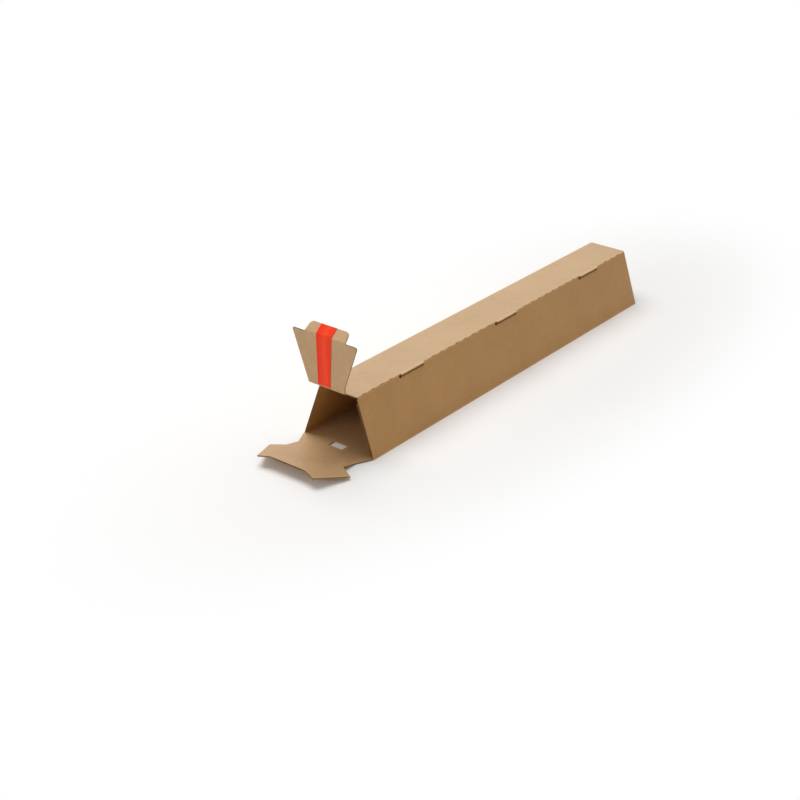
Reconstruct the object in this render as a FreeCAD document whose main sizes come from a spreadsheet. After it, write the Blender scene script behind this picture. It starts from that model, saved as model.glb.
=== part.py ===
import FreeCAD
import Part
import os
import Sketcher
from FreeCAD import Placement, Rotation, Vector

# Mailing tube of corrugated board with a trapezoid section, in millimetres.
# The tube lies along Y with its wide side down and its open mouth towards -Y.
# The origin is the centre of its underside. The right-hand wall is two layers.

# Driving dimensions: name and value in millimetres, degrees or a count
SIZES = [
    ("tube_length", 645.0),
    ("bottom_width", 115.0),
    ("top_width", 60.0),
    ("tube_height", 79.0),
    ("board", 1.6),
    ("layer_gap", 0.4),
    ("inside_fold_radius", 0.5),
    # inner layer of the right wall, whose top edge carries the lock tabs
    ("inner_layer_drop", 9.5),
    ("lock_tab_play", 0.3),
    # lock slots along the upper right fold, each under a lip of the top
    ("first_slot", 88.0),
    ("slot_spacing", 214.5),
    ("slot_count", 3),
    ("slot_length", 48.0),
    ("slot_depth", 3.2),
    ("lip_reach", 2.6),
    # lid: folded edge, spine that goes under the top, end wall and tuck tab
    ("edge_roll", 0.5),
    ("hinge_play", 0.6),
    ("spine_start", 1.2),
    ("spine_length", 25.0),
    ("spine_half_width", 29.0),
    ("lid_length", 69.0),
    ("ear_setback", 1.0),
    ("lid_closed_lean", 10.0),
    ("lid_straight", 7.0),
    ("lid_side_play", 0.3),
    ("left_ear_radius", 1.5),
    ("right_ear_radius", 3.0),
    ("tab_length", 14.0),
    ("tab_root_half_width", 32.0),
    ("tab_end_half_width", 30.0),
    ("tab_corner_radius", 6.0),
    ("fold_play", 0.15),
    ("first_crease", 22.1),
    ("crease_pitch", 18.2),
    ("crease_count", 3),
    ("crease_width", 1.2),
    ("crease_depth", 0.4),
    ("spine_angle", 32.5),
    ("lid_angle", 55.5),
    ("tab_angle", 50.0),
    # release liner over the glue on the lid's inner side and on the tab
    ("liner", 0.2),
    ("liner_base_width", 20.0),
    ("liner_fold_width", 25.0),
    ("liner_setback", 0.6),
    ("liner_base_shift", 3.4),
    ("liner_fold_shift", 1.7),
    # flap at the bottom of the mouth: strip, panel and two side wings
    ("strip_length", 23.5),
    ("strip_end_half_width", 46.5),
    ("panel_length", 75.0),
    ("panel_end_half_width", 28.0),
    ("panel_straight", 23.5),
    ("panel_tilt", 12.0),
    ("wing_width", 22.0),
    ("wing_end_width", 18.5),
    ("wing_inset", 2.0),
    ("wing_droop", 11.2),
    ("flap_hinge_play", 0.3),
    # closed rear end, and the thumb notch in the bottom fold of both ends
    ("rear_recess", 21.5),
    ("rear_panel_play", 0.4),
    ("rear_tab_play", 0.3),
    ("notch_width", 22.0),
    ("notch_depth", 6.0),
]

# Worked-out dimensions: name and formula on the driving ones
FORMULAS = [
    ("half_length", "tube_length / 2"),
    ("half_bottom", "bottom_width / 2"),
    ("half_top", "top_width / 2"),
    ("lean", "(half_bottom - half_top) / tube_height"),
    ("wall", "board * sqrt(1 + lean * lean)"),
    ("gap", "layer_gap * sqrt(1 + lean * lean)"),
    ("top_inside", "tube_height - board"),
    ("inner_top", "tube_height - inner_layer_drop"),
    ("left_inside", "half_bottom - wall"),
    ("right_outer_inside", "half_bottom - wall"),
    ("right_inner_outside", "half_bottom - wall - gap"),
    ("right_inside", "half_bottom - 2 * wall - gap"),
    ("left_floor", "left_inside - lean * board"),
    ("left_ceiling", "left_inside - lean * top_inside"),
    ("right_ceiling", "right_outer_inside - lean * top_inside"),
    ("right_floor", "right_inside - lean * board"),
    ("layer_outer_top", "right_inner_outside - lean * inner_top"),
    ("layer_inner_top", "right_inside - lean * inner_top"),
    ("outside_fold_radius", "inside_fold_radius + board"),
    ("slot_bottom", "top_inside - slot_depth"),
    ("slot_inner_x", "layer_outer_top - slot_depth"),
    ("lock_tab_width", "slot_length - 2 * lock_tab_play"),
    ("lock_tab_outer", "right_outer_inside - lean * slot_bottom - lock_tab_play"),
    ("roll", "edge_roll + board"),
    ("hinge_height", "tube_height - roll"),
    ("spine_closed_top", "tube_height - 2 * roll"),
    ("ear_end", "lid_length - ear_setback"),
    ("lid_end_rise", "spine_closed_top - ear_end * cos(lid_closed_lean)"),
    ("lid_end_left", "left_inside - lean * lid_end_rise - lid_side_play"),
    ("lid_end_right", "right_inside - lean * lid_end_rise - lid_side_play"),
    ("spine_end", "spine_length - fold_play"),
    ("lid_end", "lid_length - fold_play"),
    ("crease_floor", "board - crease_depth"),
    ("trim_left_floor", "left_inside - lid_side_play"),
    ("trim_left_top", "left_inside - lean * tube_height - lid_side_play"),
    ("trim_right_floor", "right_inside - lid_side_play"),
    ("trim_right_step", "right_inside - lean * inner_top - lid_side_play"),
    ("trim_outer_step", "right_outer_inside - lean * inner_top - lid_side_play"),
    ("trim_right_top", "right_outer_inside - lean * tube_height - lid_side_play"),
    ("liner_base_left", "liner_base_width / 2 + liner_base_shift"),
    ("liner_base_right", "liner_base_width / 2 - liner_base_shift"),
    ("liner_fold_left", "liner_fold_width / 2 + liner_fold_shift"),
    ("liner_fold_right", "liner_fold_width / 2 - liner_fold_shift"),
    ("panel_taper", "(strip_end_half_width - panel_end_half_width) / (panel_length - panel_straight)"),
    ("wing_length", "(panel_length - panel_straight) * sqrt(1 + panel_taper * panel_taper)"),
    ("flap_root_half_width", "half_bottom - lid_side_play"),
    ("wing_far_inset", "wing_length - wing_inset"),
    ("spine_closed_upper", "spine_closed_top + board"),
    ("rear_wall_inside", "rear_recess + board"),
    ("rear_panel_near", "rear_wall_inside + rear_panel_play"),
    ("rear_panel_far", "rear_panel_near + board"),
    ("rear_panel_top", "top_inside - rear_panel_play"),
    ("strip_roll", "board + rear_tab_play / 2"),
    ("strip_inner_roll", "strip_roll - board"),
    ("strip_top", "2 * strip_roll"),
    ("strip_underside", "strip_top - board"),
    ("rear_tab_bottom", "strip_top + rear_tab_play"),
    ("rear_tab_top", "rear_tab_bottom + board"),
    ("rear_tab_tip", "rear_recess - tab_length"),
    ("half_notch", "notch_width / 2"),
]

document = FreeCAD.newDocument("mailing_tube")
sheet = document.addObject("Spreadsheet::Sheet", "Sizes")
for row, (name, value) in enumerate(SIZES, start=1):
    sheet.set("A%d" % row, str(value))
    sheet.setAlias("A%d" % row, name)
for row, (name, formula) in enumerate(FORMULAS, start=1):
    sheet.set("B%d" % row, "=" + formula)
    sheet.setAlias("B%d" % row, name)
document.recompute()


def size(name):
    """Value of a named cell; a leading minus sign turns it round, and 0 is zero."""
    if name == "0":
        return 0.0
    if name.startswith("-"):
        return -float(getattr(sheet, name[1:]))
    return float(getattr(sheet, name))


def bound(name):
    """Expression that reads a named cell."""
    if name == "0":
        return "0"
    if name.startswith("-"):
        return "-Sizes." + name[1:]
    return "Sizes." + name


def new_body(name):
    body = document.addObject("PartDesign::Body", name)
    body.Label = name
    return body


def origin_plane(body, role):
    for feature in body.Origin.OriginFeatures:
        if feature.Role == role:
            return feature
    raise RuntimeError("no plane " + role)


def outline(body, name, plane, points, offset=None):
    """Closed sketch of straight lines whose corners are bound to named cells."""
    sketch = body.newObject("Sketcher::SketchObject", name)
    sketch.AttachmentSupport = [(origin_plane(body, plane), "")]
    sketch.MapMode = "FlatFace"
    if offset is not None:
        sketch.AttachmentOffset = offset
    corners = [Vector(size(across), size(along), 0) for across, along in points]
    count = len(corners)
    for index in range(count):
        sketch.addGeometry(Part.LineSegment(corners[index], corners[(index + 1) % count]))
    for index in range(count):
        sketch.addConstraint(Sketcher.Constraint("Coincident", index, 2, (index + 1) % count, 1))
    for index, (across, along) in enumerate(points):
        for kind, cell in (("DistanceX", across), ("DistanceY", along)):
            if cell == "0":
                axis = -2 if kind == "DistanceX" else -1
                sketch.addConstraint(Sketcher.Constraint("PointOnObject", index, 1, axis))
                continue
            number = sketch.addConstraint(Sketcher.Constraint(kind, -1, 1, index, 1, size(cell)))
            sketch.setExpression("Constraints[%d]" % number, bound(cell))
    return sketch


def pad(body, sketch, name, length, midplane=False, reverse=False):
    feature = body.newObject("PartDesign::Pad", name)
    feature.Profile = sketch
    feature.setExpression("Length", bound(length))
    feature.Midplane = midplane
    feature.Reversed = reverse
    document.recompute()
    return feature


def pocket_through(body, sketch, name):
    """Cut through the whole piece, both ways from the sketch, and see that it cuts."""
    before = body.Shape.Volume
    feature = body.newObject("PartDesign::Pocket", name)
    feature.Profile = sketch
    feature.Type = "ThroughAll"
    feature.Midplane = True
    document.recompute()
    if not body.Shape.Volume < before:
        raise RuntimeError(name + " cuts nothing")
    return feature


def box(body, kind, name, length, width, height, corner):
    """Additive or subtractive box whose corner is at three named cells."""
    feature = body.newObject("PartDesign::%sBox" % kind, name)
    feature.AttachmentSupport = [(origin_plane(body, "XY_Plane"), "")]
    feature.MapMode = "FlatFace"
    feature.setExpression("Length", bound(length))
    feature.setExpression("Width", bound(width))
    feature.setExpression("Height", bound(height))
    for axis, expression in zip("xyz", corner):
        feature.setExpression("AttachmentOffset.Base." + axis, expression)
    document.recompute()
    return feature


def rounded(body, name, radius, belongs):
    """Fillet the edges that pass a test on their two ends."""
    base = body.Tip
    chosen = []
    for number, edge in enumerate(base.Shape.Edges, start=1):
        if len(edge.Vertexes) == 2 and belongs(edge.Vertexes[0].Point, edge.Vertexes[1].Point):
            chosen.append("Edge%d" % number)
    if not chosen:
        raise RuntimeError(name + " finds no edge")
    feature = body.newObject("PartDesign::Fillet", name)
    feature.Base = (base, chosen)
    feature.setExpression("Radius", bound(radius))
    document.recompute()
    return feature


def repeated(body, name, originals, axis, reach, count, reverse=False):
    """Copies of some features in a row; reach is the whole distance, as an expression."""
    pattern = body.newObject("PartDesign::LinearPattern", name)
    pattern.Originals = originals
    pattern.Direction = (origin_plane(body, axis), [""])
    pattern.Reversed = reverse
    pattern.setExpression("Length", reach)
    pattern.setExpression("Occurrences", bound(count))
    body.Tip = pattern
    document.recompute()
    return pattern


def at_corner(points, place):
    """Test for an edge that runs along the tube at one of some section corners."""
    corners = [Vector(size(across), 0, size(up)) for across, up in points]

    def belongs(first, last):
        along = abs(first.x - last.x) < place and abs(first.z - last.z) < place
        near = any(abs(first.x - at.x) < place and abs(first.z - at.z) < place for at in corners)
        return along and near

    return belongs


# Tube: one wrap of board from the inner layer of the right wall round to the outer one
NEAR = 0.01
wrap = new_body("wrap")
OUTER_CORNERS = [("half_top", "tube_height"), ("-half_top", "tube_height"), ("-half_bottom", "0")]
INNER_CORNERS = [
    ("right_floor", "board"),
    ("-left_floor", "board"),
    ("-left_ceiling", "top_inside"),
    ("right_ceiling", "top_inside"),
]
SECTION = (
    [("half_bottom", "0")]
    + OUTER_CORNERS
    + [("right_inner_outside", "0"), ("layer_outer_top", "inner_top"), ("layer_inner_top", "inner_top")]
    + INNER_CORNERS
    + [("right_outer_inside", "0")]
)
section = outline(wrap, "section", "XZ_Plane", SECTION)
pad(wrap, section, "wall_wrap", "tube_length", midplane=True)
rounded(wrap, "outside_folds", "outside_fold_radius", at_corner(OUTER_CORNERS, NEAR))
rounded(wrap, "inside_folds", "inside_fold_radius", at_corner(INNER_CORNERS, NEAR))

# Lock: a slot in the outer layer, the lip of the top over it and the inner layer's tab in it
SLOT_START = "-Sizes.half_length + Sizes.first_slot"
slot = box(
    wrap, "Subtractive", "lock_slot", "tube_height", "slot_length", "slot_depth",
    ("Sizes.slot_inner_x", SLOT_START, "Sizes.slot_bottom"),
)
lip = box(
    wrap, "Additive", "slot_lip", "lip_reach", "slot_length", "board",
    ("Sizes.half_top - Sizes.outside_fold_radius", SLOT_START, "Sizes.top_inside"),
)
lip.setExpression("Length", "Sizes.lip_reach + Sizes.outside_fold_radius")
lock_tab = box(
    wrap, "Additive", "lock_tab", "board", "lock_tab_width", "inner_layer_drop",
    (
        "Sizes.layer_inner_top",
        SLOT_START + " + Sizes.lock_tab_play",
        "Sizes.inner_top - Sizes.board",
    ),
)
lock_tab.setExpression("Length", "Sizes.lock_tab_outer - Sizes.layer_inner_top")
lock_tab.setExpression("Height", "Sizes.slot_bottom - Sizes.inner_top + 2 * Sizes.board")
document.recompute()
repeated(
    wrap, "lock_row", [slot, lip, lock_tab], "Y_Axis",
    "Sizes.slot_spacing * (Sizes.slot_count - 1)", "slot_count",
)

# Thumb notch in the bottom edge at both ends
for end, start in (("front", "-Sizes.half_length"), ("rear", "Sizes.half_length - Sizes.notch_depth")):
    box(
        wrap, "Subtractive", end + "_notch", "notch_width", "notch_depth", "board",
        ("-Sizes.half_notch", start, "0"),
    )


def ribbon(body, name, points):
    """Folded strip of board across the rear end, drawn from the rear edge and cut to the side walls."""
    sketch = outline(body, name + "_profile", "YZ_Plane", points)
    sketch.setExpression("AttachmentOffset.Base.x", "Sizes.half_length")
    pad(body, sketch, name, "bottom_width", midplane=True)
    left = [
        ("-trim_left_floor", "0"), ("-trim_left_top", "tube_height"),
        ("-half_bottom", "tube_height"), ("-half_bottom", "0"),
    ]
    right = [
        ("trim_right_floor", "0"), ("trim_right_step", "inner_top"), ("trim_outer_step", "inner_top"),
        ("trim_right_top", "tube_height"), ("half_bottom", "tube_height"), ("half_bottom", "0"),
    ]
    for side, corners in (("left", left), ("right", right)):
        pocket_through(body, outline(body, side + "_side", "XZ_Plane", corners), side + "_trim")


# Rear lid: rolled round the top edge, along under the top, down as the end wall, out on the floor
rear_lid = new_body("rear_lid")
ribbon(rear_lid, "lid_fold", [
    ("0", "tube_height"), ("roll", "tube_height"), ("roll", "spine_closed_top"),
    ("-rear_recess", "spine_closed_top"), ("-rear_recess", "rear_tab_top"),
    ("-rear_tab_tip", "rear_tab_top"), ("-rear_tab_tip", "rear_tab_bottom"),
    ("-rear_wall_inside", "rear_tab_bottom"), ("-rear_wall_inside", "spine_closed_upper"),
    ("edge_roll", "spine_closed_upper"), ("edge_roll", "top_inside"), ("0", "top_inside"),
])

# Rear flap: rolled round the bottom edge, back on the floor and up behind the end wall
rear_flap = new_body("rear_flap")
ribbon(rear_flap, "flap_fold", [
    ("0", "0"), ("strip_roll", "0"), ("strip_roll", "strip_top"), ("-rear_panel_near", "strip_top"),
    ("-rear_panel_near", "rear_panel_top"), ("-rear_panel_far", "rear_panel_top"),
    ("-rear_panel_far", "strip_underside"), ("strip_inner_roll", "strip_underside"),
    ("strip_inner_roll", "board"), ("0", "board"),
])
box(
    rear_flap, "Subtractive", "fold_notch", "notch_width", "notch_depth", "strip_top",
    ("-Sizes.half_notch", "Sizes.half_length + Sizes.strip_roll - Sizes.notch_depth", "0"),
)

tube_body = document.addObject("Part::MultiFuse", "tube_body")
tube_body.Label = "tube_body"
tube_body.Shapes = [wrap, rear_lid, rear_flap]
tube_body.Refine = True
document.recompute()


def swing(base, distance, offset, angle):
    """Place of a flap: its hinge on a point of the flap before, its plate set off from the axis."""
    rotation = Rotation(Vector(1, 0, 0), -angle)
    axis = base.multVec(Vector(0, -distance, offset))
    return Placement(axis, rotation)


def upright_at(points):
    """Test for an edge through the board at one of some outline corners."""
    corners = [Vector(size(across), size(along), 0) for across, along in points]

    def belongs(first, last):
        through = abs(first.x - last.x) < NEAR and abs(first.y - last.y) < NEAR
        near = any(abs(first.x - at.x) < NEAR and abs(first.y - at.y) < NEAR for at in corners)
        return through and near

    return belongs


def flat_piece(name, points, thickness="board"):
    """Flat piece of board in its flap's own frame, with its hinge edge along X."""
    body = new_body(name)
    pad(body, outline(body, "cut_outline", "XY_Plane", points), "sheet_of_board", thickness)
    return body


# Flaps at the mouth. Each is drawn flat from its hinge outwards, then folded to its angle at rest.
lid_spine = flat_piece("lid_spine", [
    ("-spine_half_width", "-spine_start"), ("spine_half_width", "-spine_start"),
    ("spine_half_width", "-spine_end"), ("-spine_half_width", "-spine_end"),
])

LID_CORNERS = [("lid_end_right", "-ear_end"), ("-lid_end_left", "-ear_end")]
lid_panel = flat_piece("lid_panel", [
    ("-spine_half_width", "-fold_play"), ("spine_half_width", "-fold_play"),
    ("spine_half_width", "-lid_straight"), LID_CORNERS[0],
    ("tab_root_half_width", "-ear_end"), ("tab_root_half_width", "-lid_end"),
    ("-tab_root_half_width", "-lid_end"), ("-tab_root_half_width", "-ear_end"), LID_CORNERS[1],
])
rounded(lid_panel, "right_ear_corner", "right_ear_radius", upright_at(LID_CORNERS[:1]))
rounded(lid_panel, "left_ear_corner", "left_ear_radius", upright_at(LID_CORNERS[1:]))
crease = box(
    lid_panel, "Subtractive", "cross_crease", "bottom_width", "crease_width", "board",
    ("-Sizes.half_bottom", "-Sizes.first_crease - Sizes.crease_width / 2", "Sizes.crease_floor"),
)
repeated(
    lid_panel, "crease_row", [crease], "Y_Axis",
    "Sizes.crease_pitch * (Sizes.crease_count - 1)", "crease_count", reverse=True,
)

TAB_CORNERS = [("tab_end_half_width", "-tab_length"), ("-tab_end_half_width", "-tab_length")]
tuck_tab = flat_piece("tuck_tab", [
    ("-tab_root_half_width", "-fold_play"), ("tab_root_half_width", "-fold_play"),
] + TAB_CORNERS)
rounded(tuck_tab, "tab_corners", "tab_corner_radius", upright_at(TAB_CORNERS))

lid_liner = flat_piece("lid_liner", [
    ("-liner_base_left", "-liner_setback"), ("liner_base_right", "-liner_setback"),
    ("liner_fold_right", "-lid_end"), ("-liner_fold_left", "-lid_end"),
], "liner")
tab_liner = flat_piece("tab_liner", [
    ("-liner_fold_left", "-fold_play"), ("liner_fold_right", "-fold_play"),
    ("liner_fold_right", "-tab_length"), ("-liner_fold_left", "-tab_length"),
], "liner")

# Bottom flap: strip on the ground, panel tilted up from it, and a drooping wing on each side
bottom_flap = flat_piece("bottom_flap", [
    ("-flap_root_half_width", "0"), ("flap_root_half_width", "0"),
    ("strip_end_half_width", "-strip_length"), ("-strip_end_half_width", "-strip_length"),
])
box(
    bottom_flap, "Subtractive", "strip_notch", "notch_width", "notch_depth", "board",
    ("-Sizes.half_notch", "-Sizes.notch_depth", "0"),
)
panel_place = Placement(
    Vector(0, -size("strip_length"), 0), Rotation(Vector(1, 0, 0), -size("panel_tilt"))
)
panel = outline(bottom_flap, "panel_outline", "XY_Plane", [
    ("-strip_end_half_width", "0"), ("strip_end_half_width", "0"),
    ("strip_end_half_width", "-panel_straight"), ("panel_end_half_width", "-panel_length"),
    ("-panel_end_half_width", "-panel_length"), ("-strip_end_half_width", "-panel_straight"),
], panel_place)
pad(bottom_flap, panel, "tilted_panel", "board")

taper_turn = Rotation(Vector(size("panel_taper"), 1, 0), Vector(0, 1, 0)).inverted()
wing_droop = Rotation(Vector(0, 1, 0), size("wing_droop"))
crease_start = Vector(size("strip_end_half_width"), -size("panel_straight"), size("board"))
wing_place = panel_place * Placement(crease_start, taper_turn * wing_droop)
wing_place = wing_place * Placement(Vector(0, 0, -size("board")), Rotation())
wing = outline(bottom_flap, "wing_outline", "XY_Plane", [
    ("0", "0"), ("wing_width", "-wing_inset"), ("wing_end_width", "-wing_far_inset"), ("0", "-wing_length"),
], wing_place)
wing_pad = pad(bottom_flap, wing, "side_wing", "board")
both_wings = bottom_flap.newObject("PartDesign::Mirrored", "both_wings")
both_wings.Originals = [wing_pad]
both_wings.MirrorPlane = (origin_plane(bottom_flap, "YZ_Plane"), [""])
bottom_flap.Tip = both_wings
document.recompute()

# Rest pose of each flap
MOUTH = -size("half_length")
spine_hinge = Placement(
    Vector(0, MOUTH - size("hinge_play"), size("hinge_height")),
    Rotation(Vector(1, 0, 0), -size("spine_angle")),
)
lid_lean = size("spine_angle") + size("lid_angle")
lid_hinge = swing(spine_hinge, size("spine_length"), size("roll"), lid_lean)
tab_hinge = swing(lid_hinge, size("lid_length"), 0, lid_lean + size("tab_angle"))
flap_hinge = Placement(Vector(0, MOUTH - size("flap_hinge_play"), size("board")), Rotation())


def set_off(hinge, offset):
    return hinge * Placement(Vector(0, 0, offset), Rotation())


lid_spine.Placement = set_off(spine_hinge, size("edge_roll"))
lid_panel.Placement = set_off(lid_hinge, -size("board"))
tuck_tab.Placement = set_off(tab_hinge, -size("board"))
lid_liner.Placement = set_off(lid_hinge, -size("board") - size("liner"))
tab_liner.Placement = set_off(tab_hinge, -size("board") - size("liner"))
bottom_flap.Placement = set_off(flap_hinge, -size("board"))
document.recompute()

PIECES = [tube_body, lid_spine, lid_panel, tuck_tab, lid_liner, tab_liner, bottom_flap]
for item in document.Objects:
    if "Invalid" in item.State or "Error" in item.State:
        raise RuntimeError("failed: " + item.Name)
for piece in PIECES:
    if piece.Shape.isNull() or not piece.Shape.isValid() or len(piece.Shape.Solids) != 1:
        raise RuntimeError("bad shape: " + piece.Label)

os.makedirs("parts", exist_ok=True)
for piece in PIECES:
    piece.Shape.exportStep("parts/" + piece.Label + ".step")

for label, hinge in (("spine", spine_hinge), ("lid", lid_hinge), ("tab", tab_hinge), ("flap", flap_hinge)):
    print(label, "hinge", [round(value, 3) for value in hinge.Base])
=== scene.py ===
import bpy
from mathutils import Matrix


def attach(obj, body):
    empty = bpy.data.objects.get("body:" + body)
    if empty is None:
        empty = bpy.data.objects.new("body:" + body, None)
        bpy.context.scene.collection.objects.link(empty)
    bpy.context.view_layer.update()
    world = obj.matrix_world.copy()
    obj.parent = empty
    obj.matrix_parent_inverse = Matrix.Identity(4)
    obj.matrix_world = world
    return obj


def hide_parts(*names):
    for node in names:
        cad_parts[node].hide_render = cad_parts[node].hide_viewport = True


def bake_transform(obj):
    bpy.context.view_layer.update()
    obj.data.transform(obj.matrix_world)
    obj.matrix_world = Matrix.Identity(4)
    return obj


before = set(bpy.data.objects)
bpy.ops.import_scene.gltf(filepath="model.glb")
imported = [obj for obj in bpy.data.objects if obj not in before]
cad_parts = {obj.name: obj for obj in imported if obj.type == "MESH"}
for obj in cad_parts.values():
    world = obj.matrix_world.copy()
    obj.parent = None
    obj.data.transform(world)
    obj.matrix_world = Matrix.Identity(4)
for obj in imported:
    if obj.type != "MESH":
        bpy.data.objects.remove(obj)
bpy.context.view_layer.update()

import math

import bpy
from mathutils import Matrix, Vector

# Kraft liner, the brown paper on both faces of the board.
# It is unbleached paper, matt and slightly fibrous, and the flutes under it print faint lines through it.
# The eye sees soft clouds, fibre streaks across the flutes, dark flecks and paler, rubbed folds.
FLUTE_PITCH = 0.0033
FOLD_POINTS = ((0.030, 0.079), (0.0575, 0.0))


def linear(code):
    """Linear colour of an sRGB hex code."""
    parts = [int(code[place:place + 2], 16) / 255 for place in (1, 3, 5)]
    return [part / 12.92 if part <= 0.04045 else ((part + 0.055) / 1.055) ** 2.4 for part in parts] + [1.0]


def add(tree, kind, settings, inputs):
    """Adds a node with its settings; an input is a value or the output of another node."""
    made = tree.nodes.new(kind)
    for key, value in settings.items():
        setattr(made, key, value)
    for key, value in inputs.items():
        if isinstance(value, bpy.types.NodeSocket):
            tree.links.new(value, made.inputs[key])
        else:
            made.inputs[key].default_value = value
    return made


def start_material(name, roughness):
    """Material with only its shader; gives the node tree and the shader."""
    material = bpy.data.materials.new(name)
    material.use_nodes = True
    shader = material.node_tree.nodes["Principled BSDF"]
    shader.inputs["Roughness"].default_value = roughness
    return material, material.node_tree, shader


kraft, tree, shader = start_material("kraft_liner", 0.5)
place = add(tree, "ShaderNodeTexCoord", {}, {})
spot = add(tree, "ShaderNodeSeparateXYZ", {}, {0: place.outputs["Object"]})
facing = add(tree, "ShaderNodeSeparateXYZ", {}, {0: place.outputs["Normal"]})
sideways = add(tree, "ShaderNodeMath", {"operation": "ABSOLUTE"}, {0: facing.outputs["X"]})
on_side_wall = add(tree, "ShaderNodeMath", {"operation": "GREATER_THAN"}, {0: sideways.outputs[0], 1: 0.7})
across = add(
    tree, "ShaderNodeMix", {"data_type": "FLOAT"},
    {"Factor": on_side_wall.outputs[0], 2: spot.outputs["X"], 3: spot.outputs["Z"]},
)
other = add(
    tree, "ShaderNodeMix", {"data_type": "FLOAT"},
    {"Factor": on_side_wall.outputs[0], 2: spot.outputs["Z"], 3: spot.outputs["X"]},
)
sheet_place = add(
    tree, "ShaderNodeCombineXYZ", {},
    {"X": across.outputs[0], "Y": spot.outputs["Y"], "Z": other.outputs[0]},
)
# Real fibres are about 0.03 mm wide, too fine to show, so the streaks here are about 1 mm
streaks_place = add(
    tree, "ShaderNodeMapping", {},
    {"Vector": sheet_place.outputs[0], "Scale": (160.0, 900.0, 900.0)},
)
streaks = add(
    tree, "ShaderNodeTexNoise", {},
    {"Vector": streaks_place.outputs[0], "Scale": 1.0, "Detail": 4.0, "Roughness": 0.6},
)
clouds = add(
    tree, "ShaderNodeTexNoise", {},
    {"Vector": place.outputs["Object"], "Scale": 16.0, "Detail": 3.0, "Roughness": 0.55},
)
mottle = add(
    tree, "ShaderNodeTexNoise", {},
    {"Vector": place.outputs["Object"], "Scale": 140.0, "Detail": 3.0, "Roughness": 0.6},
)
flute_turns = add(
    tree, "ShaderNodeMath", {"operation": "MULTIPLY"},
    {0: across.outputs[0], 1: 2 * math.pi / FLUTE_PITCH},
)
flute_lines = add(tree, "ShaderNodeMath", {"operation": "SINE"}, {0: flute_turns.outputs[0]})
tone = add(
    tree, "ShaderNodeMath", {"operation": "MULTIPLY_ADD"},
    {0: streaks.outputs["Fac"], 1: 0.50, 2: 0.02},
)
tone = add(
    tree, "ShaderNodeMath", {"operation": "MULTIPLY_ADD"},
    {0: clouds.outputs["Fac"], 1: 0.55, 2: tone.outputs[0]},
)
tone = add(
    tree, "ShaderNodeMath", {"operation": "MULTIPLY_ADD"},
    {0: mottle.outputs["Fac"], 1: 0.30, 2: tone.outputs[0]},
)
tone = add(
    tree, "ShaderNodeMath", {"operation": "MULTIPLY_ADD"},
    {0: flute_lines.outputs[0], 1: 0.025, 2: tone.outputs[0]},
)
# Folds are crushed and rubbed, so the liner is paler within about 2 mm of them
mirrored_x = add(tree, "ShaderNodeMath", {"operation": "ABSOLUTE"}, {0: spot.outputs["X"]})
section_place = add(
    tree, "ShaderNodeCombineXYZ", {}, {"X": mirrored_x.outputs[0], "Y": 0.0, "Z": spot.outputs["Z"]},
)
for fold_x, fold_z in FOLD_POINTS:
    from_fold = add(
        tree, "ShaderNodeVectorMath", {"operation": "DISTANCE"},
        {0: section_place.outputs[0], 1: (fold_x, 0.0, fold_z)},
    )
    rubbed = add(
        tree, "ShaderNodeMapRange", {"interpolation_type": "SMOOTHSTEP"},
        {
            "Value": from_fold.outputs["Value"],
            "From Min": 0.0008, "From Max": 0.0032, "To Min": 0.5, "To Max": 0.0,
        },
    )
    tone = add(
        tree, "ShaderNodeMath", {"operation": "MULTIPLY_ADD"},
        {0: rubbed.outputs[0], 1: mottle.outputs["Fac"], 2: tone.outputs[0]},
    )
liner_colour = add(tree, "ShaderNodeValToRGB", {}, {"Fac": tone.outputs[0]})
liner_colour.color_ramp.elements[0].position = 0.30
liner_colour.color_ramp.elements[0].color = linear("#AA8558")
liner_colour.color_ramp.elements[1].position = 1.10
liner_colour.color_ramp.elements[1].color = linear("#C9A478")
fleck_place = add(
    tree, "ShaderNodeMapping", {},
    {"Vector": sheet_place.outputs[0], "Scale": (420.0, 900.0, 900.0)},
)
flecks = add(
    tree, "ShaderNodeTexNoise", {}, {"Vector": fleck_place.outputs[0], "Scale": 1.0, "Detail": 1.0},
)
fleck_share = add(
    tree, "ShaderNodeMapRange", {},
    {"Value": flecks.outputs["Fac"], "From Min": 0.71, "From Max": 0.77, "To Min": 0.0, "To Max": 0.3},
)
flecked = add(
    tree, "ShaderNodeMix", {"data_type": "RGBA"},
    {"Factor": fleck_share.outputs[0], 6: liner_colour.outputs["Color"], 7: linear("#7A5731")},
)
# Painted light: the right wall is tinted deeper and warmer as painted bounce light, the top paler as
# painted sheen
on_right_wall = add(tree, "ShaderNodeMath", {"operation": "GREATER_THAN"}, {0: facing.outputs["X"], 1: 0.7})
bounce_tinted = add(
    tree, "ShaderNodeMix", {"data_type": "RGBA", "blend_type": "MULTIPLY"},
    {"Factor": on_right_wall.outputs[0], 6: flecked.outputs[2], 7: linear("#FDE9B8")},
)
# Painted sheen: faces that look up, at the top's height and above, are mixed towards a pale tan
faces_up = add(tree, "ShaderNodeMath", {"operation": "GREATER_THAN"}, {0: facing.outputs["Z"], 1: 0.8})
top_share = add(
    tree, "ShaderNodeMapRange", {"interpolation_type": "SMOOTHSTEP"},
    {"Value": spot.outputs["Z"], "From Min": 0.0770, "From Max": 0.0785, "To Min": 0.0, "To Max": 0.11},
)
on_top = add(
    tree, "ShaderNodeMath", {"operation": "MULTIPLY"},
    {0: faces_up.outputs[0], 1: top_share.outputs[0]},
)
painted_sheen_top = add(
    tree, "ShaderNodeMix", {"data_type": "RGBA"},
    {"Factor": on_top.outputs[0], 6: bounce_tinted.outputs[2], 7: linear("#E3CDB2")},
)
tree.links.new(painted_sheen_top.outputs[2], shader.inputs["Base Color"])
surface = add(
    tree, "ShaderNodeMath", {"operation": "MULTIPLY_ADD"},
    {0: flute_lines.outputs[0], 1: 0.25, 2: streaks.outputs["Fac"]},
)
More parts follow.
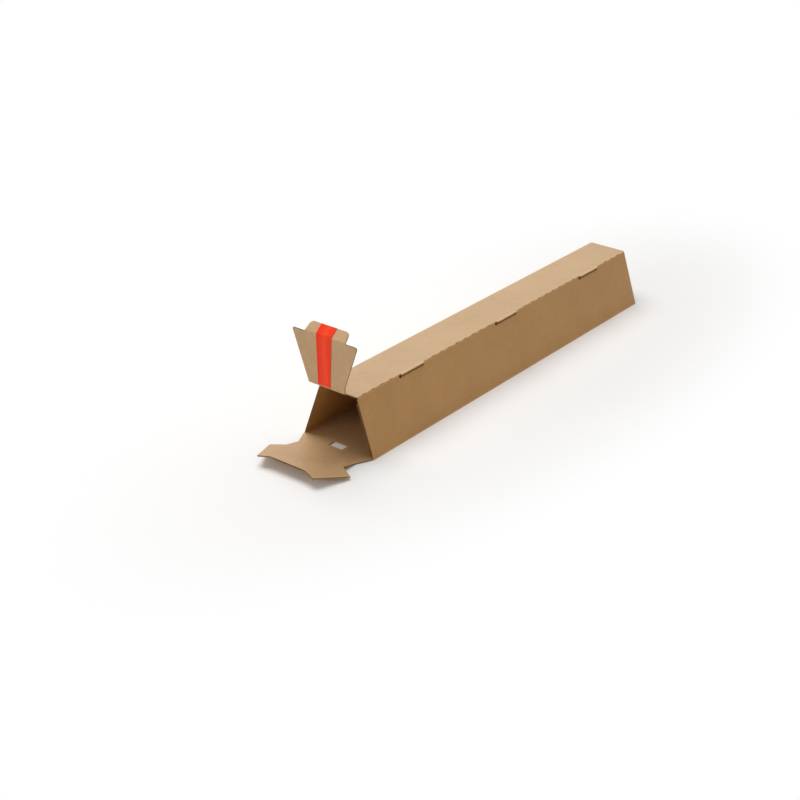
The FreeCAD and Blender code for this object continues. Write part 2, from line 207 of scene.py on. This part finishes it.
relief = add(
    tree, "ShaderNodeBump", {}, {"Strength": 0.35, "Distance": 0.00010, "Height": surface.outputs[0]},
)
tree.links.new(relief.outputs["Normal"], shader.inputs["Normal"])

# Fluted medium, the wavy paper between the liners, seen only in the cut ends of the board.
# It is the same pulp, rougher than the liner, and darker, partly its own tone and partly painted shade of
# the open flutes, with faint streaks along each flute.
medium, tree, shader = start_material("fluted_medium", 0.9)
place = add(tree, "ShaderNodeTexCoord", {}, {})
pulp = add(
    tree, "ShaderNodeTexNoise", {}, {"Vector": place.outputs["Object"], "Scale": 900.0, "Detail": 3.0},
)
# The ramp's dark browns are partly painted shade for the hollows of the flutes
pulp_and_shade_colour = add(tree, "ShaderNodeValToRGB", {}, {"Fac": pulp.outputs["Fac"]})
pulp_and_shade_colour.color_ramp.elements[0].position = 0.3
pulp_and_shade_colour.color_ramp.elements[0].color = linear("#6E4E2C")
pulp_and_shade_colour.color_ramp.elements[1].position = 0.7
pulp_and_shade_colour.color_ramp.elements[1].color = linear("#94703F")
tree.links.new(pulp_and_shade_colour.outputs["Color"], shader.inputs["Base Color"])

# Tube wrap: one blank of 1.6 mm three-layer board, scored, folded into a trapezoid and locked on the right.
# The blank is die-cut, so its ends show open flutes, its folds are perforated in dashes and the lock slots
# start in small round holes. The rear lid is folded in and closed, with three score lines across its wall.
BOARD = 0.0016
HALF_LENGTH = 0.3225
HALF_BOTTOM = 0.0575
HALF_TOP = 0.030
HEIGHT = 0.079
LEAN = (HALF_BOTTOM - HALF_TOP) / HEIGHT
SLOPE = math.hypot(HALF_BOTTOM - HALF_TOP, HEIGHT)
LAYER_GAP = 0.0004
SLOT_STARTS = (0.088, 0.3025, 0.517)
SLOT_LENGTH = 0.048
ROLLED_EDGE = 0.0009
FLUTE_RADIUS = 0.00156
FLUTE_FLATNESS = 0.49
FLUTE_SINK = 0.00020
FLUTE_ROUNDING = 0.00028
END_FLUTE_CUT = 0.008
END_FLUTE_INSET = 0.0035
DASH_LENGTH = 0.0075
DASH_WIDTH = 0.0008
DASH_KNIFE = 0.0030
DASH_LIFT = 0.0007
DASH_PITCH = 0.018
DASH_MARGIN = 0.014
SLOT_MARGIN = 0.012
HOLE_RADIUS = 0.0024
HOLE_PUNCH = 0.016
HOLE_DROP = 0.0034
HOLE_LEAD = 0.0014
CORNER_HOLE_RADIUS = 0.0017
CORNER_HOLE_PUNCH = 0.0042
CORNER_HOLE_DROP = 0.0024
CORNER_HOLE_INSET = 0.0008
CREASE_HEIGHTS = (0.0527, 0.0345, 0.0163)
CREASE_RADIUS = 0.0008
CREASE_OFFSET = 0.0004
CREASE_LEFT_GAP = 0.0040
CREASE_RIGHT_GAP = 0.0062
REAR_WALL = 0.301


def pick(piece):
    """Selects one object alone and makes it active."""
    bpy.ops.object.select_all(action="DESELECT")
    piece.select_set(True)
    bpy.context.view_layer.objects.active = piece


def board_from(node, name):
    """Own piece from a folded solid, with its loose triangles merged to a closed mesh."""
    piece = bpy.data.objects.new(name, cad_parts[node].data.copy())
    bpy.context.collection.objects.link(piece)
    piece.data.materials.clear()
    piece.data.materials.append(kraft)
    piece.data.materials.append(medium)
    pick(piece)
    if piece.data.has_custom_normals:
        bpy.ops.mesh.customdata_custom_splitnormals_clear()
    bpy.ops.object.mode_set(mode="EDIT")
    bpy.ops.mesh.select_all(action="SELECT")
    bpy.ops.mesh.remove_doubles(threshold=0.000005)
    bpy.ops.object.mode_set(mode="OBJECT")
    return piece


def bare_inside(cutter):
    """Gives a cutter the two papers of a piece, so that what it cuts shows the medium."""
    cutter.data.materials.append(kraft)
    cutter.data.materials.append(medium)
    for face in cutter.data.polygons:
        face.material_index = 1


def bare_edges(piece, out, limit):
    """Shows the medium on the cut edges, the faces about square to the board's outward direction."""
    for face in piece.data.polygons:
        if abs(face.normal.dot(out)) < limit:
            face.material_index = 1


def flute_row(count, depth, frame_matrix):
    """Row of open flutes as a cutter: X along the cut edge, Y along the flutes, Z through the board."""
    bpy.ops.object.select_all(action="DESELECT")
    bpy.ops.mesh.primitive_cylinder_add(
        vertices=3, radius=FLUTE_RADIUS, depth=depth, rotation=(math.pi / 2, 0, 0),
    )
    row = bpy.context.object
    bpy.ops.object.transform_apply(location=False, rotation=True, scale=False)
    row.data.transform(Matrix.Scale(FLUTE_FLATNESS, 4, (0, 0, 1)))
    row.data.transform(Matrix.Translation((0, 0, -FLUTE_SINK)))
    for edge in row.data.edges:
        first, last = (row.data.vertices[index].co for index in edge.vertices)
        edge.select = abs(first.y - last.y) > depth / 2
    bpy.ops.object.mode_set(mode="EDIT")
    bpy.ops.mesh.select_mode(type="EDGE")
    bpy.ops.mesh.bevel(offset=FLUTE_ROUNDING, segments=2, affect="EDGES")
    bpy.ops.mesh.select_all(action="SELECT")
    bpy.ops.mesh.duplicate()
    bpy.ops.transform.rotate(value=math.pi, orient_axis="Y", center_override=(0, 0, 0))
    bpy.ops.transform.translate(value=(FLUTE_PITCH / 2, 0, 0))
    bpy.ops.object.mode_set(mode="OBJECT")
    repeat = row.modifiers.new("flutes", "ARRAY")
    repeat.use_relative_offset = False
    repeat.use_constant_offset = True
    repeat.constant_offset_displace = (FLUTE_PITCH, 0, 0)
    repeat.count = count
    bpy.ops.object.modifier_apply(modifier=repeat.name)
    bare_inside(row)
    row.data.transform(Matrix.Translation((-FLUTE_PITCH * (count - 0.5) / 2, 0, 0)))
    row.data.transform(frame_matrix)
    return row


def axes(at, inward, out):
    """Matrix that lays a cutter's Y and Z along two directions at a point, and its X square to both."""
    columns = [
        Vector(inward).cross(Vector(out)).normalized(),
        Vector(inward).normalized(),
        Vector(out).normalized(),
    ]
    turned = Matrix([[column[row] for column in columns] for row in range(3)]).to_4x4()
    return Matrix.Translation(at) @ turned


def cutter_box(width, depth, height, frame_matrix):
    """Straight slit as a cutter, with its ends drawn in a little as a knife leaves them."""
    bpy.ops.object.select_all(action="DESELECT")
    bpy.ops.mesh.primitive_cube_add(size=1, scale=(width, depth, height))
    slit = bpy.context.object
    bpy.ops.object.transform_apply(location=False, rotation=False, scale=True)
    bpy.ops.object.mode_set(mode="EDIT")
    bpy.ops.mesh.select_all(action="SELECT")
    bpy.ops.mesh.bevel(offset=min(width, height) * 0.3, segments=1, affect="EDGES")
    bpy.ops.object.mode_set(mode="OBJECT")
    bare_inside(slit)
    slit.data.transform(frame_matrix)
    return slit


def cutter_rod(radius, length, frame_matrix, bare=False):
    """Round punch or scoring wheel along its own Y as a cutter; if bare, what it cuts shows the medium."""
    bpy.ops.object.select_all(action="DESELECT")
    bpy.ops.mesh.primitive_cylinder_add(
        vertices=20, radius=radius, depth=length, rotation=(math.pi / 2, 0, 0),
    )
    rod = bpy.context.object
    bpy.ops.object.transform_apply(location=False, rotation=True, scale=False)
    if bare:
        bare_inside(rod)
    else:
        rod.data.materials.append(kraft)
    rod.data.transform(frame_matrix)
    return rod


def cut(piece, cutters):
    """Cuts a piece with several cutters at once and removes them."""
    pick(cutters[0])
    for cutter in cutters:
        cutter.select_set(True)
    if len(cutters) > 1:
        bpy.ops.object.join()
    pick(piece)
    difference = piece.modifiers.new("cut", "BOOLEAN")
    difference.operation = "DIFFERENCE"
    difference.solver = "MANIFOLD"
    difference.object = cutters[0]
    bpy.ops.object.modifier_apply(modifier=difference.name)
    bpy.data.objects.remove(cutters[0])


def finish_board(piece):
    """Shades the folds smooth and keeps the cut edges crisp."""
    pick(piece)
    bpy.ops.object.shade_smooth_by_angle(angle=0.6)
    even = piece.modifiers.new("even_faces", "WEIGHTED_NORMAL")
    even.weight = 100
    even.keep_sharp = True
    bpy.ops.object.modifier_apply(modifier=even.name)


def on_wall(side, rise, inset):
    """Point in the section: up the slope of a side wall, set in from its outer face."""
    foot = Vector((side * HALF_BOTTOM, 0, 0))
    up = Vector((-side * (HALF_BOTTOM - HALF_TOP), 0, HEIGHT)).normalized()
    out = Vector((side * HEIGHT, 0, HALF_BOTTOM - HALF_TOP)).normalized()
    return foot + up * rise - out * inset, up, out


tube = board_from("tube_body", "tube_wrap")

# The rolled edges of the closed end are round
for face in tube.data.polygons:
    face.select = min(tube.data.vertices[index].co.y for index in face.vertices) > HALF_LENGTH - 0.001
bpy.ops.object.mode_set(mode="EDIT")
bpy.ops.mesh.select_mode(type="FACE")
bpy.ops.mesh.dissolve_limited(angle_limit=0.01)
bpy.ops.mesh.select_all(action="DESELECT")
bpy.ops.object.mode_set(mode="OBJECT")
for edge in tube.data.edges:
    first, last = (tube.data.vertices[index].co for index in edge.vertices)
    across_tube = abs(first.x - last.x) > 0.004 and abs(first.z - last.z) < 0.0001
    level = (first.z + last.z) / 2
    outer = min(first.y, last.y) > HALF_LENGTH + 0.0016
    edge.select = across_tube and outer and not 0.005 < level < 0.07
bpy.ops.object.mode_set(mode="EDIT")
bpy.ops.mesh.select_mode(type="EDGE")
bpy.ops.mesh.bevel(offset=ROLLED_EDGE, segments=3, affect="EDGES", clamp_overlap=True)
bpy.ops.object.mode_set(mode="OBJECT")

cutters = []
# Open flutes in the ends of the left wall and of both layers of the right wall
for end in (-1, 1):
    for side, inset, rise, count in (
        (-1, BOARD / 2, 0.0420, 22),
        (1, BOARD / 2, 0.0420, 22),
        (1, BOARD * 1.5 + LAYER_GAP, 0.0385, 20),
    ):
        middle, _, out = on_wall(side, rise, inset)
        start = middle + Vector((0, end * (HALF_LENGTH - END_FLUTE_INSET), 0))
        cutters.append(flute_row(count, END_FLUTE_CUT, axes(start, (0, 1, 0), out)))
# Perforation dashes along two folds, left out beside the lock slots
for corner_x, corner_z, tilt in (
    (HALF_TOP, HEIGHT, (1.0, 0, 1.43)),
    (-HALF_BOTTOM, 0.0, (-1.0, 0, -0.70)),
):
    outward = Vector(tilt).normalized()
    dash = DASH_MARGIN
    while dash < 2 * HALF_LENGTH - DASH_MARGIN:
        at_slot = any(
            start - SLOT_MARGIN < dash < start + SLOT_LENGTH + SLOT_MARGIN for start in SLOT_STARTS
        )
        if not (corner_x > 0 and at_slot):
            spot_on_fold = Vector((corner_x, dash - HALF_LENGTH, corner_z)) + outward * DASH_LIFT
            cutters.append(cutter_box(
                DASH_WIDTH, DASH_LENGTH, DASH_KNIFE, axes(spot_on_fold, (0, 1, 0), outward),
            ))
        dash += DASH_PITCH
# Punched holes at the near end of each lock slot and at the near end of the top right fold
for start in SLOT_STARTS:
    centre, up, out = on_wall(1, SLOPE - HOLE_DROP, 0.0)
    centre = centre + Vector((0, start - HALF_LENGTH - HOLE_LEAD, 0))
    cutters.append(cutter_rod(HOLE_RADIUS, HOLE_PUNCH, axes(centre, out, up), bare=True))
centre, up, out = on_wall(1, SLOPE - CORNER_HOLE_DROP, 0.0)
centre = centre + Vector((0, CORNER_HOLE_INSET - HALF_LENGTH, 0))
cutters.append(cutter_rod(CORNER_HOLE_RADIUS, CORNER_HOLE_PUNCH, axes(centre, out, up)))
# Score lines across the closed end wall
for level in CREASE_HEIGHTS:
    left = -(HALF_BOTTOM - LEAN * level - CREASE_LEFT_GAP)
    right = HALF_BOTTOM - LEAN * level - CREASE_RIGHT_GAP
    centre = Vector(((left + right) / 2, REAR_WALL + CREASE_OFFSET, level))
    cutters.append(cutter_rod(CREASE_RADIUS, right - left, axes(centre, (1, 0, 0), (0, 1, 0))))
cut(tube, cutters)
# Bare medium on the cut ends of the walls
for face in tube.data.polygons:
    if abs(face.normal.y) > 0.995 and abs(abs(face.center.y) - HALF_LENGTH) < 0.0003:
        face.material_index = 1
finish_board(tube)
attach(tube, "tube")
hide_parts("tube_body")

# Lid spine: the strip between the top of the tube and the lid, raised here to a little over thirty degrees.
# It is part of the same blank, hinged on scored folds at both its edges.
SPINE_LEAN = math.radians(32.5)
SPINE_ALONG = Vector((0, -math.cos(SPINE_LEAN), math.sin(SPINE_LEAN)))
SPINE_OUT = Vector((0, math.sin(SPINE_LEAN), math.cos(SPINE_LEAN)))

spine = board_from("lid_spine", "lid_spine_board")
bare_edges(spine, SPINE_OUT, 0.05)
finish_board(spine)
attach(spine, "lid_spine")
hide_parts("lid_spine")

# Lid: the end wall of the mouth, standing up. Three score lines cross its outer side, and it bends a little
# at each. The ears beside the tab are cut across the flutes.
SPINE_HINGE = Vector((0, -0.3231, 0.0769))
LID_HINGE = Vector((0, -0.343056, 0.092104))
LID_LEAN = math.radians(88)
LID_ALONG = Vector((0, -math.cos(LID_LEAN), math.sin(LID_LEAN)))
LID_OUT = Vector((0, math.sin(LID_LEAN), math.cos(LID_LEAN)))
LID_LENGTH = 0.069
EAR_END = 0.068
EDGE_FLUTE_CUT = 0.005
EDGE_FLUTE_INSET = 0.0022

lid = board_from("lid_panel", "lid_board")
cutters = []
for middle_x, ear_flutes in ((-0.0415, 5), (0.0402, 4)):
    centre = LID_HINGE + LID_ALONG * (EAR_END - EDGE_FLUTE_INSET) - LID_OUT * BOARD / 2
    centre = centre + Vector((middle_x, 0, 0))
    cutters.append(flute_row(ear_flutes, EDGE_FLUTE_CUT, axes(centre, LID_ALONG, LID_OUT)))
cut(lid, cutters)
bare_edges(lid, LID_OUT, 0.05)
finish_board(lid)
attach(lid, "lid")
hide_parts("lid_panel")

# Tuck tab: the end of the lid, with rounded corners, tilted back from it.
# Its end is cut across the flutes, so a row of them shows there.
TAB_HINGE = Vector((0, -0.345465, 0.161062))
TAB_LEAN = math.radians(138)
TAB_ALONG = Vector((0, -math.cos(TAB_LEAN), math.sin(TAB_LEAN)))
TAB_OUT = Vector((0, math.sin(TAB_LEAN), math.cos(TAB_LEAN)))
TAB_LENGTH = 0.014

tab = board_from("tuck_tab", "tuck_tab_board")
centre = TAB_HINGE + TAB_ALONG * (TAB_LENGTH - EDGE_FLUTE_INSET) - TAB_OUT * BOARD / 2
cut(tab, [flute_row(13, EDGE_FLUTE_CUT, axes(centre, TAB_ALONG, TAB_OUT))])
bare_edges(tab, TAB_OUT, 0.05)
finish_board(tab)
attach(tab, "tuck_tab")
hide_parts("tuck_tab")

# Bottom flap: strip, panel and two side wings, laid forward in front of the mouth.
# The free end of the panel is cut across the flutes, and the other edges show bare paper.
FLAP_TILT = math.radians(12)
FLAP_HINGE_Y = -0.3228
STRIP_LENGTH = 0.0235
FLAP_FOLD = Vector((0, FLAP_HINGE_Y - STRIP_LENGTH, 0))
FLAP_ALONG = Vector((0, -math.cos(FLAP_TILT), math.sin(FLAP_TILT)))
FLAP_OUT = Vector((0, math.sin(FLAP_TILT), math.cos(FLAP_TILT)))
PANEL_LENGTH = 0.075

flap = board_from("bottom_flap", "bottom_flap_board")
centre = FLAP_FOLD + FLAP_ALONG * (PANEL_LENGTH - EDGE_FLUTE_INSET) + FLAP_OUT * BOARD / 2
cut(flap, [flute_row(15, EDGE_FLUTE_CUT, axes(centre, FLAP_ALONG, FLAP_OUT))])
bare_edges(flap, Vector((0, 0, 1)), 0.3)
finish_board(flap)
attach(flap, "bottom_flap")
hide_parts("bottom_flap")


# Folds: the scored, bent board between two flaps. The liner stretches round the outer side of each fold,
# so each is a narrow strip of board, set in place between its neighbours.
def fold_strip(name, profile, left, right):
    """Strip of board along X from a closed section of (y, z) points, drawn round in order."""
    bpy.ops.object.select_all(action="DESELECT")
    bpy.ops.mesh.primitive_circle_add(vertices=len(profile), radius=0.01, fill_type="NGON")
    strip = bpy.context.object
    strip.name = name
    for corner, (y, z) in zip(strip.data.vertices, profile):
        corner.co = (left, y, z)
    bpy.ops.object.mode_set(mode="EDIT")
    bpy.ops.mesh.select_all(action="SELECT")
    bpy.ops.mesh.extrude_region_move(TRANSFORM_OT_translate={"value": (right - left, 0, 0)})
    bpy.ops.mesh.select_all(action="SELECT")
    bpy.ops.mesh.normals_make_consistent(inside=False)
    bpy.ops.object.mode_set(mode="OBJECT")
    bpy.ops.object.transform_apply(location=True, rotation=True, scale=True)
    strip.data.materials.append(kraft)
    finish_board(strip)
    return strip


def beside(hinge, along, out, reach, offset):
    """Section point a reach along a flap from its hinge and an offset off its face."""
    at = hinge + along * reach + out * offset
    return (at.y, at.z)


SPINE_START = 0.0012
EDGE_ROLL = 0.0005
SPINE_HALF = 0.029
TAB_HALF = 0.032
FOLD_PLAY = 0.00015
FOLD_STEPS = 6
FLAP_ROOT_HALF = 0.0572
NOTCH_HALF = 0.011

# The top rolls over a little before its fold, so the roll covers the end of the top when the lid is in
top_fold = fold_strip("top_fold", [
    (-HALF_LENGTH, HEIGHT - BOARD),
    (-HALF_LENGTH, HEIGHT),
    (-HALF_LENGTH - 0.00035, HEIGHT - 0.00008),
    (-HALF_LENGTH - 0.00050, HEIGHT - 0.00030),
    beside(SPINE_HINGE, SPINE_ALONG, SPINE_OUT, SPINE_START, EDGE_ROLL + BOARD),
    beside(SPINE_HINGE, SPINE_ALONG, SPINE_OUT, SPINE_START, EDGE_ROLL),
], -SPINE_HALF, SPINE_HALF)
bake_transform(top_fold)


def round_fold(name, hinge, before, after, turn_start, turn_end, half_width):
    """Fold round a hinge on the inner side: an arc from one flap's end to the next one's start."""
    profile = [beside(hinge, *before, -FOLD_PLAY, 0.0)]
    for step in range(FOLD_STEPS + 1):
        angle = turn_start + (turn_end - turn_start) * step / FOLD_STEPS
        out = Vector((0, math.sin(angle), math.cos(angle)))
        along = Vector((0, -math.cos(angle), math.sin(angle)))
        reach = FOLD_PLAY * (2 * step / FOLD_STEPS - 1)
        profile.append(beside(hinge, along, out, reach, -BOARD))
    profile.append(beside(hinge, *after, FOLD_PLAY, 0.0))
    strip = fold_strip(name, profile, -half_width, half_width)
    middle = (turn_start + turn_end) / 2
    along = Vector((0, -math.cos(middle), math.sin(middle)))
    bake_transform(strip)


round_fold(
    "lid_fold_strip", LID_HINGE, (SPINE_ALONG, SPINE_OUT), (LID_ALONG, LID_OUT),
    SPINE_LEAN, LID_LEAN, SPINE_HALF,
)
round_fold(
    "tab_fold_strip", TAB_HINGE, (LID_ALONG, LID_OUT), (TAB_ALONG, TAB_OUT),
    LID_LEAN, TAB_LEAN, TAB_HALF,
)
for name, left, right in (
    ("flap_fold_left", -FLAP_ROOT_HALF, -NOTCH_HALF),
    ("flap_fold_right", NOTCH_HALF, FLAP_ROOT_HALF),
):
    strip = fold_strip(name, [
        (-HALF_LENGTH, 0.0), (-HALF_LENGTH, BOARD), (FLAP_HINGE_Y, BOARD), (FLAP_HINGE_Y, 0.0),
    ], left, right)
    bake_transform(strip)

# Release liner: a strip of red siliconised paper over the glue on the lid and the tab.
# It is thin, stiff and glossy, lies in faint lengthwise ripples and turns over the fold in one piece.
LINER = 0.0002
PAPER = 0.00012
LINER_START = 0.0006
TURN_REACH = 0.0014
RIPPLE_PITCH = 0.0031
SWELL_PITCH = 0.0085
BASE_HALF = 0.010
FOLD_HALF = 0.0125
BASE_SHIFT = 0.0034
FOLD_SHIFT = 0.0017
LINER_ROWS = 84
LINER_COLUMNS = 26

red_paper, tree, shader = start_material("red_silicone_paper", 0.38)
shader.inputs["Specular IOR Level"].default_value = 0.2
place = add(tree, "ShaderNodeTexCoord", {}, {})
stretch = add(
    tree, "ShaderNodeMapping", {}, {"Vector": place.outputs["Object"], "Scale": (900.0, 30.0, 30.0)},
)
ripples = add(tree, "ShaderNodeTexNoise", {}, {"Vector": stretch.outputs[0], "Scale": 1.0, "Detail": 3.0})
spot = add(tree, "ShaderNodeSeparateXYZ", {}, {0: place.outputs["Object"]})
# Painted highlight: a band down the middle of the strip is painted lighter and more orange, as a gloss
# streak
gloss_band_place = add(
    tree, "ShaderNodeMath", {"operation": "SUBTRACT"}, {0: spot.outputs["X"], 1: -0.0012},
)
gloss_band_place = add(tree, "ShaderNodeMath", {"operation": "ABSOLUTE"}, {0: gloss_band_place.outputs[0]})
painted_gloss_band = add(
    tree, "ShaderNodeMapRange", {"interpolation_type": "SMOOTHSTEP"},
    {"Value": gloss_band_place.outputs[0], "From Min": 0.0015, "From Max": 0.0085, "To Min": 0.45, "To Max": 0.0},
)
red_tone = add(
    tree, "ShaderNodeMath", {"operation": "MULTIPLY_ADD"},
    {0: ripples.outputs["Fac"], 1: 0.6, 2: painted_gloss_band.outputs[0]},
)
red_colour = add(tree, "ShaderNodeValToRGB", {}, {"Fac": red_tone.outputs[0]})
red_colour.color_ramp.elements[0].position = 0.15
red_colour.color_ramp.elements[0].color = linear("#EA2B00")
red_colour.color_ramp.elements[1].position = 0.85
red_colour.color_ramp.elements[1].color = linear("#FA4410")
tree.links.new(red_colour.outputs["Color"], shader.inputs["Base Color"])
relief = add(
    tree, "ShaderNodeBump", {}, {"Strength": 0.4, "Distance": 0.00015, "Height": ripples.outputs["Fac"]},
)
tree.links.new(relief.outputs["Normal"], shader.inputs["Normal"])

bpy.ops.object.select_all(action="DESELECT")
bpy.ops.mesh.primitive_grid_add(x_subdivisions=LINER_COLUMNS, y_subdivisions=LINER_ROWS, size=2)
liner = bpy.context.object
liner.name = "release_liner"
lid_part = LID_LENGTH - LINER_START
whole = lid_part + TAB_LENGTH
for corner in liner.data.vertices:
    sideways = corner.co.x
    reach = (corner.co.y + 1) / 2 * whole
    share = min(reach / lid_part, 1.0)
    half = BASE_HALF + (FOLD_HALF - BASE_HALF) * share
    x = sideways * half - BASE_SHIFT + (BASE_SHIFT - FOLD_SHIFT) * share
    swing = min(1.0, abs(reach - 0.004) / 0.01)
    ripple = 0.00010 + 0.00006 * math.sin(x * 2 * math.pi / RIPPLE_PITCH + 1.0) * swing
    ripple += 0.00008 * math.sin(x * 2 * math.pi / SWELL_PITCH + reach * 9) + 0.00006
    turn = min(max((reach - lid_part + TURN_REACH) / (2 * TURN_REACH), 0.0), 1.0)
    lean = LID_LEAN + (TAB_LEAN - LID_LEAN) * turn
    out = Vector((0, math.sin(lean), math.cos(lean)))
    if turn <= 0:
        at = LID_HINGE + LID_ALONG * (reach + LINER_START)
    elif turn >= 1:
        at = TAB_HINGE + TAB_ALONG * (reach - lid_part)
    else:
        before = LID_HINGE + LID_ALONG * (reach + LINER_START)
        after = TAB_HINGE + TAB_ALONG * (reach - lid_part)
        at = before.lerp(after, turn)
    at = at - out * (BOARD + LINER / 2 + ripple)
    corner.co = (x, at.y, at.z)
pick(liner)
bpy.ops.object.transform_apply(location=True, rotation=True, scale=True)
sheet = liner.modifiers.new("paper", "SOLIDIFY")
sheet.thickness = PAPER
sheet.offset = 0.0
bpy.ops.object.modifier_apply(modifier=sheet.name)
bpy.ops.object.mode_set(mode="EDIT")
bpy.ops.mesh.select_all(action="SELECT")
bpy.ops.mesh.normals_make_consistent(inside=False)
bpy.ops.object.mode_set(mode="OBJECT")
bpy.ops.object.shade_smooth_by_angle(angle=0.8)
liner.data.materials.append(red_paper)
middle = (LID_LEAN + TAB_LEAN) / 2
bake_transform(liner)
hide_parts("lid_liner", "tab_liner")

# Floor: a plain pale sheet, seen white by the camera and keeping the tube's shadow.
# Its grain is very faint and broad, as on a paper sweep.
floor_paper, tree, shader = start_material("pale_floor", 0.9)
place = add(tree, "ShaderNodeTexCoord", {}, {})
grain = add(tree, "ShaderNodeTexNoise", {}, {"Vector": place.outputs["Object"], "Scale": 3.0})
floor_colour = add(
    tree, "ShaderNodeMix", {"data_type": "RGBA"},
    {"Factor": grain.outputs["Fac"], 6: linear("#F6F5F3"), 7: linear("#FAF9F8")},
)
tree.links.new(floor_colour.outputs[2], shader.inputs["Base Color"])
# Away from the tube the camera sees it pure white, as a studio sweep is, and near the tube as it is lit
nearness = add(
    tree, "ShaderNodeMapping", {}, {"Vector": place.outputs["Object"], "Scale": (2.4, 1.0, 1.0)},
)
away = add(tree, "ShaderNodeVectorMath", {"operation": "LENGTH"}, {0: nearness.outputs[0]})
away = add(
    tree, "ShaderNodeMapRange", {"interpolation_type": "SMOOTHSTEP"},
    {"Value": away.outputs["Value"], "From Min": 0.40, "From Max": 0.80, "To Min": 0.0, "To Max": 1.0},
)
path = add(tree, "ShaderNodeLightPath", {}, {})
seen = add(
    tree, "ShaderNodeMath", {"operation": "MAXIMUM"},
    {0: path.outputs["Is Camera Ray"], 1: path.outputs["Is Glossy Ray"]},
)
seen = add(
    tree, "ShaderNodeMath", {"operation": "MAXIMUM"},
    {0: seen.outputs[0], 1: path.outputs["Is Transmission Ray"]},
)
white_share = add(
    tree, "ShaderNodeMath", {"operation": "MULTIPLY"}, {0: seen.outputs[0], 1: away.outputs[0]},
)
sweep = add(tree, "ShaderNodeEmission", {}, {"Color": (1.0, 1.0, 1.0, 1.0), "Strength": 1.0})
floor_look = add(
    tree, "ShaderNodeMixShader", {}, {0: white_share.outputs[0], 1: shader.outputs[0], 2: sweep.outputs[0]},
)
tree.links.new(floor_look.outputs[0], tree.nodes["Material Output"].inputs["Surface"])
bpy.ops.object.select_all(action="DESELECT")
bpy.ops.mesh.primitive_plane_add(size=14, location=(0, 0, -0.0002))
floor = bpy.context.object
floor.name = "floor"
floor.data.materials.append(floor_paper)

# Studio light: an even white world, a wide soft lamp overhead and a weaker one in front.
# Both lamps point at the front half of the tube, and their width keeps its shadow soft.
LAMP_AIM = Vector((0, -0.1, 0.05))

world = bpy.data.worlds.new("studio")
world.use_nodes = True
bpy.context.scene.world = world
tree = world.node_tree
tree.nodes.clear()
path = add(tree, "ShaderNodeLightPath", {}, {})
seen = add(
    tree, "ShaderNodeMath", {"operation": "MAXIMUM"},
    {0: path.outputs["Is Camera Ray"], 1: path.outputs["Is Glossy Ray"]},
)
seen = add(
    tree, "ShaderNodeMath", {"operation": "MAXIMUM"},
    {0: seen.outputs[0], 1: path.outputs["Is Transmission Ray"]},
)
soft = add(tree, "ShaderNodeBackground", {}, {"Color": (1.0, 1.0, 1.0, 1.0), "Strength": 0.38})
white = add(tree, "ShaderNodeBackground", {}, {"Color": (1.0, 1.0, 1.0, 1.0), "Strength": 1.0})
both = add(tree, "ShaderNodeMixShader", {}, {0: seen.outputs[0], 1: soft.outputs[0], 2: white.outputs[0]})
add(tree, "ShaderNodeOutputWorld", {}, {"Surface": both.outputs[0]})
for name, at, size, power in (
    ("overhead_lamp", (-0.7, 0.0, 1.9), 1.8, 31.5),
    ("front_lamp", (-0.5, -2.2, 0.6), 1.2, 7.6),
):
    lamp = bpy.data.lights.new(name, "AREA")
    lamp.shape = "DISK"
    lamp.size = size
    lamp.energy = power
    holder = bpy.data.objects.new(name, lamp)
    bpy.context.collection.objects.link(holder)
    holder.location = at
    holder.rotation_euler = (LAMP_AIM - Vector(at)).to_track_quat("-Z", "Y").to_euler()

# Camera at the photograph's viewing angle.
# It stands in front of the mouth, to the right of the tube and above it.
RIGHT = Vector((0.789325, 0.613845, 0.012635))
DOWN = Vector((0.284657, -0.347643, -0.893373))
FORWARD = Vector((-0.544, 0.708758, -0.449139))
lens = bpy.data.cameras.new("camera")
lens.lens = 70.4
lens.sensor_width = 36.0
lens.clip_start = 0.05
camera = bpy.data.objects.new("camera", lens)
bpy.context.collection.objects.link(camera)
camera.matrix_world = Matrix((
    (RIGHT.x, -DOWN.x, -FORWARD.x, 1.125769),
    (RIGHT.y, -DOWN.y, -FORWARD.y, -1.662242),
    (RIGHT.z, -DOWN.z, -FORWARD.z, 0.946068),
    (0.0, 0.0, 0.0, 1.0),
))
bpy.context.scene.camera = camera
bpy.context.scene.view_settings.view_transform = "Standard"
